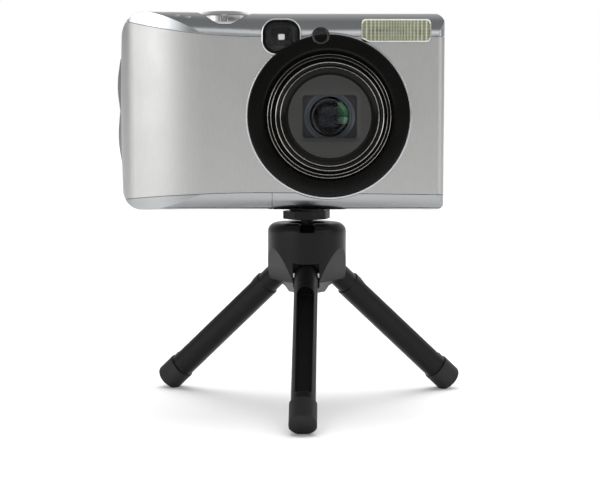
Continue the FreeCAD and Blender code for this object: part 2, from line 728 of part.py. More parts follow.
keep(cut("hub_shape", hub_blank, *hub_cuts), "tripod_hub")

# ---------------------------------------------------------------- legs and feet

floor_cut = box("below_floor", 300, 300, 20, ("-150", "-150", "-20"))
LEG_NAMES = ("front", "right", "left")
leg_end = size("leg_length")
foot_end = size("foot_end")
peg_radius = size("peg_radius")
leg_round = size("leg_radius")
oval_start = 6.5


def oval(name, half_wide, half_deep, start, end, base, turn):
    """A bar of oval section running along the body's own X axis."""
    body = new_body(name, base, turn)
    corner = half_wide - 0.05
    corners = block(2 * half_wide, 2 * half_deep, corner)
    sketch = new_sketch(body, "YZ_Plane", outline(corners), start)
    pad = body.newObject("PartDesign::Pad", f"{name}_pad")
    pad.Profile = sketch
    pad.Length = end - start
    return body


for number, leg_name in enumerate(LEG_NAMES):
    azimuth = leg_azimuth(number)
    level = Rotation(Vector(0, 0, 1), azimuth)
    run = level.multiply(Rotation(Vector(0, 1, 0), size("leg_slope")))
    axial = run.multiply(Rotation(Vector(0, 1, 0), 90))
    pin_turn = level.multiply(Rotation(Vector(1, 0, 0), -90))
    pivot = on_hub(*along(azimuth, size("pivot_reach")), "pivot_z")
    knuckle_round = turned(f"{leg_name}_knuckle", [
        (0, -leg_round), (leg_round, -leg_round, leg_round - 0.02), (leg_round, oval_start + 1.5),
        (0, oval_start + 1.5),
    ], pivot, axial)
    bar = oval(f"{leg_name}_bar", leg_round - 0.02, size("leg_half_deep"), oval_start, leg_end, pivot, run)
    peg = turned(f"{leg_name}_peg", [(0, leg_end - 1), (peg_radius, leg_end - 1),
                                     (peg_radius, leg_end + 4.5, 0.3), (0, leg_end + 4.5)], pivot, axial)
    trough = new_body(f"{leg_name}_trough", pivot, run)
    trough_sketch = new_sketch(trough, "XY_Plane", outline([
        (8.0, -2.4, 2.3), (leg_end - 2.0, -2.2, 0.6),
        (leg_end - 2.0, 2.2, 0.6), (8.0, 2.4, 2.3)]), 0.4)
    trough_pad = trough.newObject("PartDesign::Pad", f"{leg_name}_trough_pad")
    trough_pad.Profile = trough_sketch
    trough_pad.Length = 6
    pin_start = on_hub(*(a - b for a, b in zip(along(azimuth, size("pivot_reach")), along(azimuth + 90, 6))),
                       "pivot_z")
    pin_hole = rod(f"{leg_name}_pin_hole", "pivot_pin + 0.05", 12, pin_start, pin_turn)
    keep(cut(f"{leg_name}_leg_shape", fuse(f"{leg_name}_leg_blank", knuckle_round, bar, peg), trough,
             pin_hole), f"{leg_name}_leg")
    cap = turned(f"{leg_name}_cap", [
        (peg_radius + 0.02, leg_end + 0.02), (size("foot_radius"), leg_end + 0.02, 0.35),
        (size("foot_radius"), foot_end - 2.0), (size("foot_radius"), foot_end, size("foot_round")),
        (0, foot_end), (0, leg_end + 4.6), (peg_radius + 0.02, leg_end + 4.6),
    ], pivot, axial)
    cheeks = oval(f"{leg_name}_cheeks", size("foot_half_wide"), size("foot_radius") + 0.1, leg_end - 1,
                  foot_end + 1, pivot, run)
    keep(cut(f"{leg_name}_foot_shape", common(f"{leg_name}_foot_blank", cap, cheeks), floor_cut),
         f"{leg_name}_foot")

# ---------------------------------------------------------------- ball head and lock nut

BALL = on_hub(0, 0, "ball_z")
liner_shell = cut("liner_shell", ball("liner_outer", "ball_radius + liner_thick + 0.05", BALL),
                  ball("liner_inner", "ball_radius + 0.08", BALL))
liner_top = box("liner_top", 20, 20, 20, on_hub(-10, -10, "ball_z + 1.6"))
liner_foot = box("liner_foot", 20, 20, 20, on_hub(-10, -10, "ball_z - 25"))
keep(cut("liner_shape", liner_shell, liner_top, liner_foot), "ball_liner")
keep(fuse("ball_shape", ball("ball_core", "ball_radius", BALL),
          rod("neck", "neck_radius", "nut_bottom + 1.2 - ball_z", BALL)), "mount_ball")
keep(turned("stud", [(0, 56.06), (2.1, 56.06), (size("stud_radius"), 56.4),
                     (size("stud_radius"), size("camera_z") + size("stud_reach"), 0.5),
                     (0, size("camera_z") + size("stud_reach"))], HUB_AXIS), "mount_screw")
nut_turn = Rotation(Vector(0, 0, 1), size("nut_turn"))
nut_body = new_body("nut_oval", on_hub(0, 0, "nut_bottom"), nut_turn)
nut_tip, nut_side = size("nut_long") / 2, size("nut_wide") / 2
nut_sketch = new_sketch(nut_body, "XY_Plane", outline([
    (-nut_tip, -2.6, 0.7), (-3.0, -nut_side, 3.0), (3.0, -nut_side, 3.0), (nut_tip, -2.6, 2.0),
    (nut_tip, 2.6, 2.0), (3.0, nut_side, 3.0), (-3.0, nut_side, 3.0), (-nut_tip, 2.6, 0.7)]))
nut_pad = nut_body.newObject("PartDesign::Pad", "nut_pad")
nut_pad.Profile = nut_sketch
bind(nut_pad, Length="nut_top - nut_bottom")
nut_taper = turned("nut_taper", [(0, 0), (5.6, 0), (7.8, 0.35), (7.8, 5), (0, 5)],
                   on_hub(0, 0, "nut_bottom"))
nut_bore = turned("nut_bore", [(0, 54), (2.2, 54), (2.2, 55.8), (size("stud_radius") + 0.06, 56.2),
                               (size("stud_radius") + 0.06, 60), (0, 60)], HUB_AXIS)
keep(cut("nut_shape", common("nut_blank", nut_body, nut_taper), nut_bore), "lock_nut")
keep(turned("pad_shape", tube(size("stud_radius") + 0.06, size("pad_radius"), size("nut_top") + 0.03,
                              size("camera_z") - 0.04, 0.15), HUB_AXIS), "mount_pad")

# ---------------------------------------------------------------- check and write

doc.recompute()
for item in doc.Objects:
    if "Invalid" in item.State or "Error" in item.State:
        raise RuntimeError(f"{item.Name} did not build: {item.State}")
os.makedirs("parts", exist_ok=True)
for item in SUBPARTS:
    shape = item.Shape
    if shape.isNull() or not shape.isValid():
        raise RuntimeError(f"{item.Label} is not a valid shape")
    shape.exportStep(f"parts/{item.Label}.step")
    print(f"{item.Label:22s} solids {len(shape.Solids)}  volume {shape.Volume:9.1f}")
whole = Part.makeCompound([item.Shape for item in SUBPARTS]).BoundBox
print(f"{len(SUBPARTS)} sub-parts, x {whole.XMin:.2f} {whole.XMax:.2f}  y {whole.YMin:.2f} {whole.YMax:.2f}"
      f"  z {whole.ZMin:.2f} {whole.ZMax:.2f}")
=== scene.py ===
import json
import math

import bpy
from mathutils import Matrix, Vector


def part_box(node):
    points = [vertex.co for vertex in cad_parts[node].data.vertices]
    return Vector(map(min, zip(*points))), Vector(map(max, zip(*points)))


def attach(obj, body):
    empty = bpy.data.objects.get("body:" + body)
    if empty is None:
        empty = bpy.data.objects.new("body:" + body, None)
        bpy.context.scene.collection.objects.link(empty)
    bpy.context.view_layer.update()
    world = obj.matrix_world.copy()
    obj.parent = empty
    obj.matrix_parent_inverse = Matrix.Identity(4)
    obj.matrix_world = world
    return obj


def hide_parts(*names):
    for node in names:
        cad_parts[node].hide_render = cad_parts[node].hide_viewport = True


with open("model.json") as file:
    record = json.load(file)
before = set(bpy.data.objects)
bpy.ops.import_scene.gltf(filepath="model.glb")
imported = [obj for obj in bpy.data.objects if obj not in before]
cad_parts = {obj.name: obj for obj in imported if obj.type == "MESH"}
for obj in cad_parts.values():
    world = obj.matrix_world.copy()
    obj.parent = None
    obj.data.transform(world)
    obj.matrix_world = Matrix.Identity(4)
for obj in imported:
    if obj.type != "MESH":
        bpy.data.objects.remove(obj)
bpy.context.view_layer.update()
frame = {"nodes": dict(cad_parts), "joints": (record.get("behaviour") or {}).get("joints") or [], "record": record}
MM = 0.001
NODES = frame["nodes"]
SLOT_OF = {part["node"]: part["material_slot"] for part in frame["record"]["subparts"]}

# the case's left end, top and front line
CASE_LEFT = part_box("rear_cover")[0].x
CASE_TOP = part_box("top_cover")[1].z
FRONT_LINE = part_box("front_plate")[0].y


def middle(node):
    low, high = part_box(node)
    return (low + high) / 2


def linear(*values):
    """Turn 0-255 display values into linear colour."""
    return tuple(((v / 255 + 0.055) / 1.055) ** 2.4 if v > 10 else v / 255 / 12.92 for v in values)


# ------------------------------------------------------------------ materials

MATERIALS = {}


class Tree:
    """Short calls for building a material's nodes."""

    def __init__(self, name):
        self.material = bpy.data.materials.new(name)
        self.material.use_nodes = True
        self.tree = self.material.node_tree
        self.shader = self.tree.nodes["Principled BSDF"]
        self.place = self.add("ShaderNodeTexCoord").outputs["Object"]
        MATERIALS[name] = self.material

    def add(self, kind, **values):
        node = self.tree.nodes.new(kind)
        for key, value in values.items():
            setattr(node, key, value)
        return node

    def link(self, source, target):
        self.tree.links.new(source, target)

    def scaled(self, scale):
        node = self.add("ShaderNodeMapping")
        node.inputs["Scale"].default_value = scale
        self.link(self.place, node.inputs["Vector"])
        return node.outputs["Vector"]

    def noise(self, scale, detail=3.0, roughness=0.5, where=None):
        node = self.add("ShaderNodeTexNoise")
        node.inputs["Scale"].default_value = scale
        node.inputs["Detail"].default_value = detail
        node.inputs["Roughness"].default_value = roughness
        self.link(where or self.place, node.inputs["Vector"])
        return node.outputs["Fac"]

    def span(self, value, low, high, start=0.0, end=1.0):
        node = self.add("ShaderNodeMapRange")
        node.inputs["From Min"].default_value = start
        node.inputs["From Max"].default_value = end
        node.inputs["To Min"].default_value = low
        node.inputs["To Max"].default_value = high
        self.link(value, node.inputs["Value"])
        return node.outputs["Result"]

    def mix(self, factor, first, second):
        node = self.add("ShaderNodeMix", data_type="RGBA")
        self.link(factor, node.inputs["Factor"])
        for value, socket in ((first, node.inputs["A"]), (second, node.inputs["B"])):
            if isinstance(value, tuple):
                socket.default_value = (*value, 1.0)
            else:
                self.link(value, socket)
        return node.outputs["Result"]

    def math(self, operation, first, second):
        node = self.add("ShaderNodeMath", operation=operation)
        for value, socket in zip((first, second), node.inputs):
            if isinstance(value, (int, float)):
                socket.default_value = value
            else:
                self.link(value, socket)
        return node.outputs["Value"]

    def edges(self, radius):
        """1 at edges and 0 on flats, from how far a rounded normal turns away."""
        bevel = self.add("ShaderNodeBevel", samples=6)
        bevel.inputs["Radius"].default_value = radius
        geometry = self.add("ShaderNodeNewGeometry")
        dot = self.add("ShaderNodeVectorMath", operation="DOT_PRODUCT")
        self.link(bevel.outputs["Normal"], dot.inputs[0])
        self.link(geometry.outputs["Normal"], dot.inputs[1])
        return bevel.outputs["Normal"], self.span(dot.outputs["Value"], 1.0, 0.0, 0.72, 0.99)

    def bump(self, height, distance, normal=None):
        node = self.add("ShaderNodeBump")
        node.inputs["Strength"].default_value = 1.0
        node.inputs["Distance"].default_value = distance
        self.link(height, node.inputs["Height"])
        if normal:
            self.link(normal, node.inputs["Normal"])
        return node.outputs["Normal"]

    def set(self, **values):
        for key, value in values.items():
            self.shader.inputs[key.replace("_", " ")].default_value = value


def finish_material(name, colour, roughness, metallic=0.0, grain=2200.0, depth=0.004, uneven=0.05,
                    worn=None, radius=0.15, stretch=(1, 1, 1), tone=0.06, **sockets):
    """A worked surface: fine grain, uneven gloss, slight colour change and softened, rubbed edges."""
    tree = Tree(name)
    fine = tree.noise(grain, 3.0, 0.55, tree.scaled(stretch))
    broad = tree.noise(90.0, 4.0, 0.6)
    rounded, edge = tree.edges(radius * MM)
    darker = tuple(channel * (1 - tone) for channel in colour)
    lighter = tuple(min(1.0, channel * (1 + tone)) for channel in colour)
    shade = tree.mix(tree.span(fine, 0.0, 1.0, 0.3, 0.7), darker, lighter)
    if worn:
        rubbed = tree.math("MULTIPLY", edge, tree.span(broad, 0.15, 0.8, 0.35, 0.65))
        shade = tree.mix(rubbed, shade, worn)
    tree.link(shade, tree.shader.inputs["Base Color"])
    gloss = tree.span(broad, roughness - uneven, roughness + uneven, 0.3, 0.7)
    tree.link(gloss, tree.shader.inputs["Roughness"])
    tree.link(tree.bump(fine, depth * MM, normal=rounded), tree.shader.inputs["Normal"])
    tree.set(Metallic=metallic, **sockets)


finish_material("satin_silver", (0.425, 0.425, 0.420), 0.35, metallic=1.0, grain=2600.0, depth=0.003,
                stretch=(1.6, 1.6, 0.12), uneven=0.03, radius=0.12, tone=0.035)
finish_material("bright_silver", (0.50, 0.52, 0.535), 0.17, metallic=1.0, grain=1500.0, depth=0.0006,
                uneven=0.025, radius=0.12, tone=0.02)
finish_material("thin_bright", (0.42, 0.41, 0.38), 0.16, metallic=1.0, grain=1200.0, depth=0.0006,
                uneven=0.05, radius=0.04, tone=0.10)
# painted shade: a darker copy of bright_silver for the lower trim, standing in for the shade it mirrors from the
# floor under the camera
finish_material("lower_silver_painted_shade", (0.335, 0.345, 0.35), 0.20, metallic=1.0, grain=1500.0, depth=0.0006,
                uneven=0.025, radius=0.12, tone=0.02)
finish_material("dial_chrome", (0.36, 0.36, 0.36), 0.16, metallic=1.0, grain=1200.0, depth=0.0004,
                uneven=0.02, radius=0.12, tone=0.02)
finish_material("chrome", (0.80, 0.80, 0.79), 0.09, metallic=1.0, grain=1200.0, depth=0.0004,
                uneven=0.02, radius=0.08, tone=0.02)
finish_material("back_silver", (0.52, 0.52, 0.525), 0.34, metallic=0.9, grain=4200.0, depth=0.003,
                uneven=0.04, radius=0.2, tone=0.05)
finish_material("black_gloss", (0.0035, 0.0034, 0.0030), 0.10, grain=1600.0, depth=0.0005, uneven=0.03,
                radius=0.12, Specular_IOR_Level=0.12)
finish_material("black_satin", (0.010, 0.010, 0.0105), 0.42, grain=5200.0, depth=0.003, radius=0.1,
                Specular_IOR_Level=0.25)
finish_material("grey_matte", linear(40, 40, 39), 0.55, metallic=0.25, grain=5200.0, depth=0.003,
                radius=0.08)
finish_material("cell_grey", linear(50, 54, 60), 0.30, metallic=0.7, grain=3600.0, depth=0.002, radius=0.08)
finish_material("barrel_black", (0.045, 0.043, 0.040), 0.24, metallic=0.85, grain=2600.0, depth=0.001,
                uneven=0.05, radius=0.1)
finish_material("dark_bronze", (0.10, 0.085, 0.072), 0.16, metallic=1.0, grain=2600.0, depth=0.0006,
                radius=0.06)
finish_material("tripod_black", (0.0042, 0.0041, 0.0039), 0.33, grain=3600.0, depth=0.005, uneven=0.06,
                worn=(0.030, 0.029, 0.027), radius=0.30, Specular_IOR_Level=0.17)
finish_material("foot_rubber", (0.010, 0.010, 0.010), 0.55, grain=5200.0, depth=0.010, uneven=0.06,
                worn=(0.032, 0.032, 0.030), radius=0.3, Specular_IOR_Level=0.3)
finish_material("steel", (0.56, 0.55, 0.53), 0.25, metallic=1.0, grain=2600.0, depth=0.001, radius=0.08)
finish_material("circuit_green", (0.03, 0.12, 0.06), 0.4, grain=900.0, depth=0.01, tone=0.3)
finish_material("battery_grey", (0.05, 0.05, 0.055), 0.45, grain=3000.0, depth=0.004)
finish_material("dark_screen", (0.006, 0.006, 0.008), 0.05, grain=1000.0, depth=0.0002, uneven=0.01,
                radius=0.2, Specular_IOR_Level=0.22)
finish_material("white_plastic", (0.78, 0.78, 0.75), 0.25, grain=2600.0, depth=0.001, radius=0.1)


def glass(name, colour, roughness=0.02, **sockets):
    """Clear or tinted glass with a hair of surface unevenness."""
    tree = Tree(name)
    fine = tree.noise(700.0, 2.0)
    tree.link(tree.span(fine, roughness * 0.5, roughness * 1.5, 0.3, 0.7), tree.shader.inputs["Roughness"])
    tree.link(tree.bump(fine, 0.0002 * MM), tree.shader.inputs["Normal"])
    tree.set(Base_Color=(*colour, 1.0), Transmission_Weight=1.0, **sockets)


glass("clear_glass", (0.93, 0.95, 0.94), IOR=1.12)

# front element: clear glass with a painted reflection, a green patch towards its right side; the patch is made
# metallic, so it also mirrors the real lights
tree = Tree("coated_glass_painted_reflection")
spot = tree.add("ShaderNodeSeparateXYZ")
tree.link(tree.place, spot.inputs["Vector"])
CELL = middle("lens_cell")
across = tree.math("MULTIPLY", tree.math("SUBTRACT", spot.outputs["X"], CELL.x), 1000.0)
upward = tree.math("MULTIPLY", tree.math("SUBTRACT", spot.outputs["Z"], CELL.z), 1000.0)
distance = tree.math("SQRT", tree.math("ADD", tree.math("MULTIPLY", across, across),
                                       tree.math("MULTIPLY", upward, upward)), 0.0)
cloud = tree.noise(420.0, 2.0)
sideways = tree.span(across, 0.0, 1.0, 2.0, 4.6)
height_off = tree.math("ABSOLUTE", tree.math("SUBTRACT", upward, 1.3), 0.0)
painted_green_reflection = tree.math("MULTIPLY", tree.math("MULTIPLY", sideways, tree.span(height_off, 1.0, 0.0, 0.8, 3.6)),
                 tree.span(cloud, 0.55, 1.0, 0.35, 0.65))
# painted highlight: a brighter arc at 4.35 mm radius inside the painted green reflection
arc = tree.span(tree.math("ABSOLUTE", tree.math("SUBTRACT", distance, 4.35), 0.0), 1.0, 0.0, 0.05, 0.30)
painted_arc_highlight = tree.math("MULTIPLY", arc, painted_green_reflection)
# the painted reflection and its arc drive the metalness
painted_reflection_metalness = tree.math("ADD", tree.math("MULTIPLY", painted_green_reflection, 0.50), tree.math("MULTIPLY", painted_arc_highlight, 0.5))
tree.link(tree.mix(tree.span(painted_green_reflection, 0.0, 1.0, 0.0, 0.3), (0.50, 0.52, 0.56), (0.17, 0.36, 0.23)),
          tree.shader.inputs["Base Color"])
tree.link(tree.span(painted_reflection_metalness, 0.0, 1.0), tree.shader.inputs["Metallic"])
tree.link(tree.span(cloud, 0.04, 0.12, 0.3, 0.7), tree.shader.inputs["Roughness"])
tree.set(Transmission_Weight=1.0, IOR=1.14)

# flash window: plastic with pale rib crowns and lines over olive flanks, darker in a middle belt
tree = Tree("flash_lens")
spot = tree.add("ShaderNodeSeparateXYZ")
tree.link(tree.place, spot.inputs["Vector"])
FLASH_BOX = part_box("flash_window")
share = tree.span(spot.outputs["X"], 0.0, 1.0, FLASH_BOX[0].x, FLASH_BOX[1].x)
swing = tree.math("MULTIPLY", tree.math("SINE", tree.math("MULTIPLY", share, 2 * math.pi), 0.0), -0.9)
phase = tree.math("ADD", tree.math("MULTIPLY", share, 20.0), swing)
crown = tree.math("ABSOLUTE", tree.math("SINE", tree.math("MULTIPLY", phase, math.pi), 0.0), 0.0)
rise = tree.span(spot.outputs["Z"], 0.0, 1.0, FLASH_BOX[0].z, FLASH_BOX[1].z)
belt = tree.math("ABSOLUTE", tree.math("SUBTRACT", rise, 0.5), 0.0)
cloud = tree.noise(520.0, 3.0)
olive = tree.mix(tree.span(belt, 0.0, 1.0, 0.0, 0.22), (0.085, 0.092, 0.05), (0.19, 0.20, 0.10))
flank = tree.mix(tree.span(cloud, 0.0, 1.0, 0.35, 0.65), olive, (0.22, 0.23, 0.135))
weave = tree.math("ABSOLUTE", tree.math("SINE", tree.math("MULTIPLY", rise, 7 * math.pi), 0.0), 0.0)
flank = tree.mix(tree.span(weave, 0.55, 0.0, 0.0, 0.35), flank, (0.48, 0.49, 0.41))
tree.link(tree.mix(tree.span(crown, 0.9, 0.0, 0.12, 0.5), flank, (0.62, 0.63, 0.56)),
          tree.shader.inputs["Base Color"])
tree.link(tree.span(cloud, 0.05, 0.12, 0.3, 0.7), tree.shader.inputs["Roughness"])
tree.set(Transmission_Weight=0.15, IOR=1.5, Coat_Weight=0.4, Coat_Roughness=0.03)

# painted shade: a dark glass floor under a glossy coating, standing in for the shade deep in the lens; the second
# glass and the floor across the iris opening both wear it
tree = Tree("lens_depth_painted_shade")
ring = tree.noise(260.0, 2.0)
tree.link(tree.mix(tree.span(ring, 0.0, 1.0, 0.35, 0.65), (0.006, 0.007, 0.008), (0.014, 0.016, 0.018)),
          tree.shader.inputs["Base Color"])
tree.set(Roughness=0.12, Specular_IOR_Level=0.3, Coat_Weight=0.3, Coat_Roughness=0.02)

# the lower trim takes the darker silver copy, which is painted shade
LOWER_TRIM = ("bottom_cover", "battery_door", "right_trim", "left_trim", "port_cover")
FINISH_OF = {**SLOT_OF, **dict.fromkeys(LOWER_TRIM, "lower_silver_painted_shade")}
for node, item in NODES.items():
    item.data.materials.clear()
    item.data.materials.append(MATERIALS[FINISH_OF[node]])


# ------------------------------------------------------------------ mesh helpers

def piece(name, verts, faces, materials, body, face_slots=None, sharp=32.0):
    mesh = bpy.data.meshes.new(name)
    mesh.from_pydata(verts, [], faces)
    mesh.validate()
    item = bpy.data.objects.new(name, mesh)
    bpy.context.scene.collection.objects.link(item)
    for material in materials:
        mesh.materials.append(MATERIALS[material])
    if face_slots:
        for polygon, index in zip(mesh.polygons, face_slots):
            polygon.material_index = index
    mesh.polygons.foreach_set("use_smooth", [True] * len(mesh.polygons))
    mesh.set_sharp_from_angle(angle=math.radians(sharp))
    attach(item, body)
    return item


def rounded_profile(corners, steps=4):
    """Replace (r, h, radius) corners of an open or closed section by short arcs."""
    points = []
    count = len(corners)
    for number, corner in enumerate(corners):
        here = Vector(corner[:2])
        if len(corner) < 3 or number in (0, count - 1):
            points.append(tuple(here))
            continue
        before = (Vector(corners[number - 1][:2]) - here).normalized()
        after = (Vector(corners[(number + 1) % count][:2]) - here).normalized()
        half = before.angle(after) / 2
        reach = corner[2] / math.tan(half)
        centre = here + (before + after).normalized() * (corner[2] / math.sin(half))
        first, last = here + before * reach - centre, here + after * reach - centre
        for step in range(steps + 1):
            turn = first.lerp(last, step / steps).normalized() * corner[2]
            points.append(tuple(centre + turn))
    return points


class Axis:
    """A centre line with two cross directions."""

    def __init__(self, origin, along, side):
        self.origin = Vector(origin)
        self.along = Vector(along).normalized()
        self.side = Vector(side).normalized()
        self.other = self.along.cross(self.side)

    def at(self, radius, height, angle):
        cross = self.side * math.cos(angle) + self.other * math.sin(angle)
        return self.origin + (cross * radius + self.along * height) * MM


def lathe(name, axis, profile, materials, body, slot, bands=None, segments=180, ripple=None, sharp=32.0,
          closed=True):
    """Turn a section of (radius, height) millimetres round an axis, one material index per span in bands."""
    verts, faces, slots = [], [], []
    rings = []
    for number, (radius, height) in enumerate(profile):
        if radius < 1e-6:
            rings.append([len(verts)])
            verts.append(axis.at(0, height, 0))
            continue
        rings.append(list(range(len(verts), len(verts) + segments)))
        for step in range(segments):
            angle = 2 * math.pi * step / segments
            extra = ripple(number, angle) if ripple else 0.0
            verts.append(axis.at(radius + extra, height, angle))
    spans = len(profile) if closed and len(rings[0]) > 1 and len(rings[-1]) > 1 else len(profile) - 1
    for number in range(spans):
        near, far = rings[number], rings[(number + 1) % len(profile)]
        for step in range(segments):
            following = (step + 1) % segments
            if len(near) == 1 and len(far) == 1:
                continue
            if len(near) == 1:
                faces.append((near[0], far[following], far[step]))
            elif len(far) == 1:
                faces.append((near[step], near[following], far[0]))
            else:
                faces.append((near[step], near[following], far[following], far[step]))
            slots.append(bands[number] if bands else 0)
    return piece(name, verts, faces, materials, body, slots, sharp)


def rounded_loop(wide, high, radius, centre_x, centre_z, y, corner_steps=10, side_steps=14):
    """Points round a rounded rectangle in the XZ plane, in metres."""
    corners = []
    for quarter, (sx, sz) in enumerate(((1, 1), (-1, 1), (-1, -1), (1, -1))):
        for step in range(corner_steps + 1):
            angle = math.pi / 2 * (quarter + step / corner_steps)
            corners.append(Vector((centre_x + (sx * (wide / 2 - radius) + radius * math.cos(angle)) * MM, y,
                                   centre_z + (sz * (high / 2 - radius) + radius * math.sin(angle)) * MM)))
    points = []
    for number, corner in enumerate(corners):
        points.append(corner)
        if number % (corner_steps + 1) == corner_steps:
            following = corners[(number + 1) % len(corners)]
            points += [corner.lerp(following, step / side_steps) for step in range(1, side_steps)]
    return points


def round_loop(radius, centre_x, centre_z, y, like):
    """Points round a circle at the same angles as another loop."""
    points = []
    for point in like:
        angle = math.atan2(point.z - centre_z, point.x - centre_x)
        points.append(Vector((centre_x + radius * MM * math.cos(angle), y,
                              centre_z + radius * MM * math.sin(angle))))
    return points


def loft(name, loops, materials, body, bands=None, cap_first=False, cap_last=False, ring=False,
         sharp=32.0):
    """Join loops of equal length into a skin."""
    verts = [point for loop in loops for point in loop]
    count = len(loops[0])
    faces, slots = [], []
    spans = len(loops) if ring else len(loops) - 1
    for number in range(spans):
        near, far = number * count, (number + 1) % len(loops) * count
        for step in range(count):
            following = (step + 1) % count
            faces.append((near + step, near + following, far + following, far + step))
            slots.append(bands[number] if bands else 0)
    if cap_first:
        faces.append(tuple(range(count))[::-1])
        slots.append(bands[0] if bands else 0)
    if cap_last:
        faces.append(tuple(range((len(loops) - 1) * count, len(loops) * count)))
        slots.append(bands[-1] if bands else 0)
    return piece(name, verts, faces, materials, body, slots, sharp)


# ------------------------------------------------------------------ lens

barrel = middle("outer_barrel")
LENS_X, LENS_Z = barrel.x, barrel.z
BARREL_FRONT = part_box("outer_barrel")[0].y
LENS = Axis((LENS_X, BARREL_FRONT + 21.0 * MM, LENS_Z), (0, -1, 0), (1, 0, 0))


def groove_set(radius, start, end, pitch, depth):
    """Fine turned grooves along a cylinder, as section points."""
    points = []
    count = int((end - start) / pitch)
    for number in range(count):
        base = start + number * pitch
        points += [(radius, base), (radius, base + pitch * 0.5), (radius - depth, base + pitch * 0.62),
                   (radius - depth, base + pitch * 0.88)]
    points.append((radius, end))
    return points


def banded(name, axis, parts, materials, body, slot, **options):
    """A lathe whose section comes in named runs, each with its own material index."""
    profile, bands = [], []
    for index, points in parts:
        for point in points:
            profile.append(point)
            bands.append(index)
    return lathe(name, axis, profile, materials, body, slot, bands=bands, **options)


# bezel: flat outer land, then a shallow dish down to the barrel
bezel_materials = ["black_gloss", "black_satin"]
bezel_edge = rounded_profile([(23.4, 13.15), (23.4, 13.4, 0.2), (22.6, 13.4)])
bezel = banded("lens_bezel_skin", LENS, [
    (1, [(17.9, 12.92)]),
    (0, [(23.35, 12.92)] + bezel_edge),
    (0, [(19.6, 13.39), (18.6, 13.34), (18.2, 13.22)]),
    (1, [(17.95, 13.0)]),
], bezel_materials, "camera", "black_gloss", segments=240, closed=False)
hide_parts("lens_bezel")

# outer barrel: turned sleeve with fine grooves, bright lips and a black face
barrel_materials = ["barrel_black", "thin_bright", "black_gloss", "black_satin"]
outer = banded("outer_barrel_skin", LENS, [
    (3, [(16.6, 2.5)]),
    (0, [(17.5, 2.5)] + groove_set(17.5, 11.0, 19.6, 0.55, 0.10)),
    (1, [(17.5, 20.86), (17.46, 20.96), (17.38, 21.0)]),
    (2, [(17.30, 20.96), (16.62, 20.93)]),
    (1, [(16.56, 20.98), (16.48, 21.0), (16.42, 20.95)]),
    (2, [(16.36, 20.75), (16.05, 20.62), (15.75, 20.60)]),
    (3, [(15.42, 20.55), (15.42, 19.6), (16.6, 19.6)]),
], barrel_materials, "outer_barrel", "barrel_black", segments=240, closed=True)
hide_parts("outer_barrel")

# inner barrel: polished sleeve, grooved, with two bright lips
inner = banded("inner_barrel_skin", LENS, [
    (3, [(14.2, 10.5)]),
    (0, [(15.1, 10.5)] + groove_set(15.1, 20.0, 28.6, 0.50, 0.09)),
    (1, [(15.1, 29.86), (15.06, 29.96), (14.98, 30.0)]),
    (2, [(14.90, 29.95), (14.30, 29.90)]),
    (2, [(14.2, 29.86)]),
], barrel_materials, "inner_barrel", "barrel_black", segments=240, closed=True)
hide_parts("inner_barrel")

# plain name ring: two bright lips either side of a black dished band
name_ring = banded("front_ring_skin", LENS, [
    (3, [(14.18, 28.9)]),
    (2, [(14.18, 29.62), (13.80, 29.72)]),
    (1, [(13.74, 29.78), (13.66, 29.80), (13.60, 29.74)]),
    (2, [(13.52, 29.62), (13.3, 29.56), (12.4, 29.44), (11.98, 29.40)]),
    (2, [(11.80, 29.44), (11.66, 29.40)]),
    (3, [(11.66, 28.9)]),
], barrel_materials, "inner_barrel", "black_gloss", segments=240, closed=True)
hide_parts("front_ring")

# grey disc with its rounded window and a softened rim
disc_low, disc_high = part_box("barrier_frame")
face_y = disc_low.y
DISC = (LENS_X, LENS_Z)
WINDOW_WIDE, WINDOW_HIGH, WINDOW_CORNER = 15.0, 11.7, 0.9


def window_loop(grow, y):
    return rounded_loop(WINDOW_WIDE + 2 * grow, WINDOW_HIGH + 2 * grow, WINDOW_CORNER + grow, *DISC, y, 12)


window = window_loop(0, face_y)
disc_loops = [
    window_loop(0.0, disc_high.y),
    window_loop(0.0, face_y + 0.40 * MM),
    window_loop(0.12, face_y + 0.33 * MM),
    window_loop(0.95, face_y + 0.08 * MM),
    window_loop(1.05, face_y + 0.02 * MM),
    window_loop(1.15, face_y),
    round_loop(10.9, *DISC, face_y, window),
    round_loop(11.12, *DISC, face_y + 0.07 * MM, window),
    round_loop(11.34, *DISC, face_y + 0.02 * MM, window),
    round_loop(11.52, *DISC, face_y + 0.04 * MM, window),
    round_loop(11.6, *DISC, face_y + 0.16 * MM, window),
    round_loop(11.6, *DISC, disc_high.y, window),
]
disc = loft("barrier_frame_skin", disc_loops, ["grey_matte", "black_satin"], "inner_barrel",
            bands=[1, 1, 0, 0, 0, 0, 0, 0, 0, 0, 0, 1], ring=True)
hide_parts("barrier_frame")

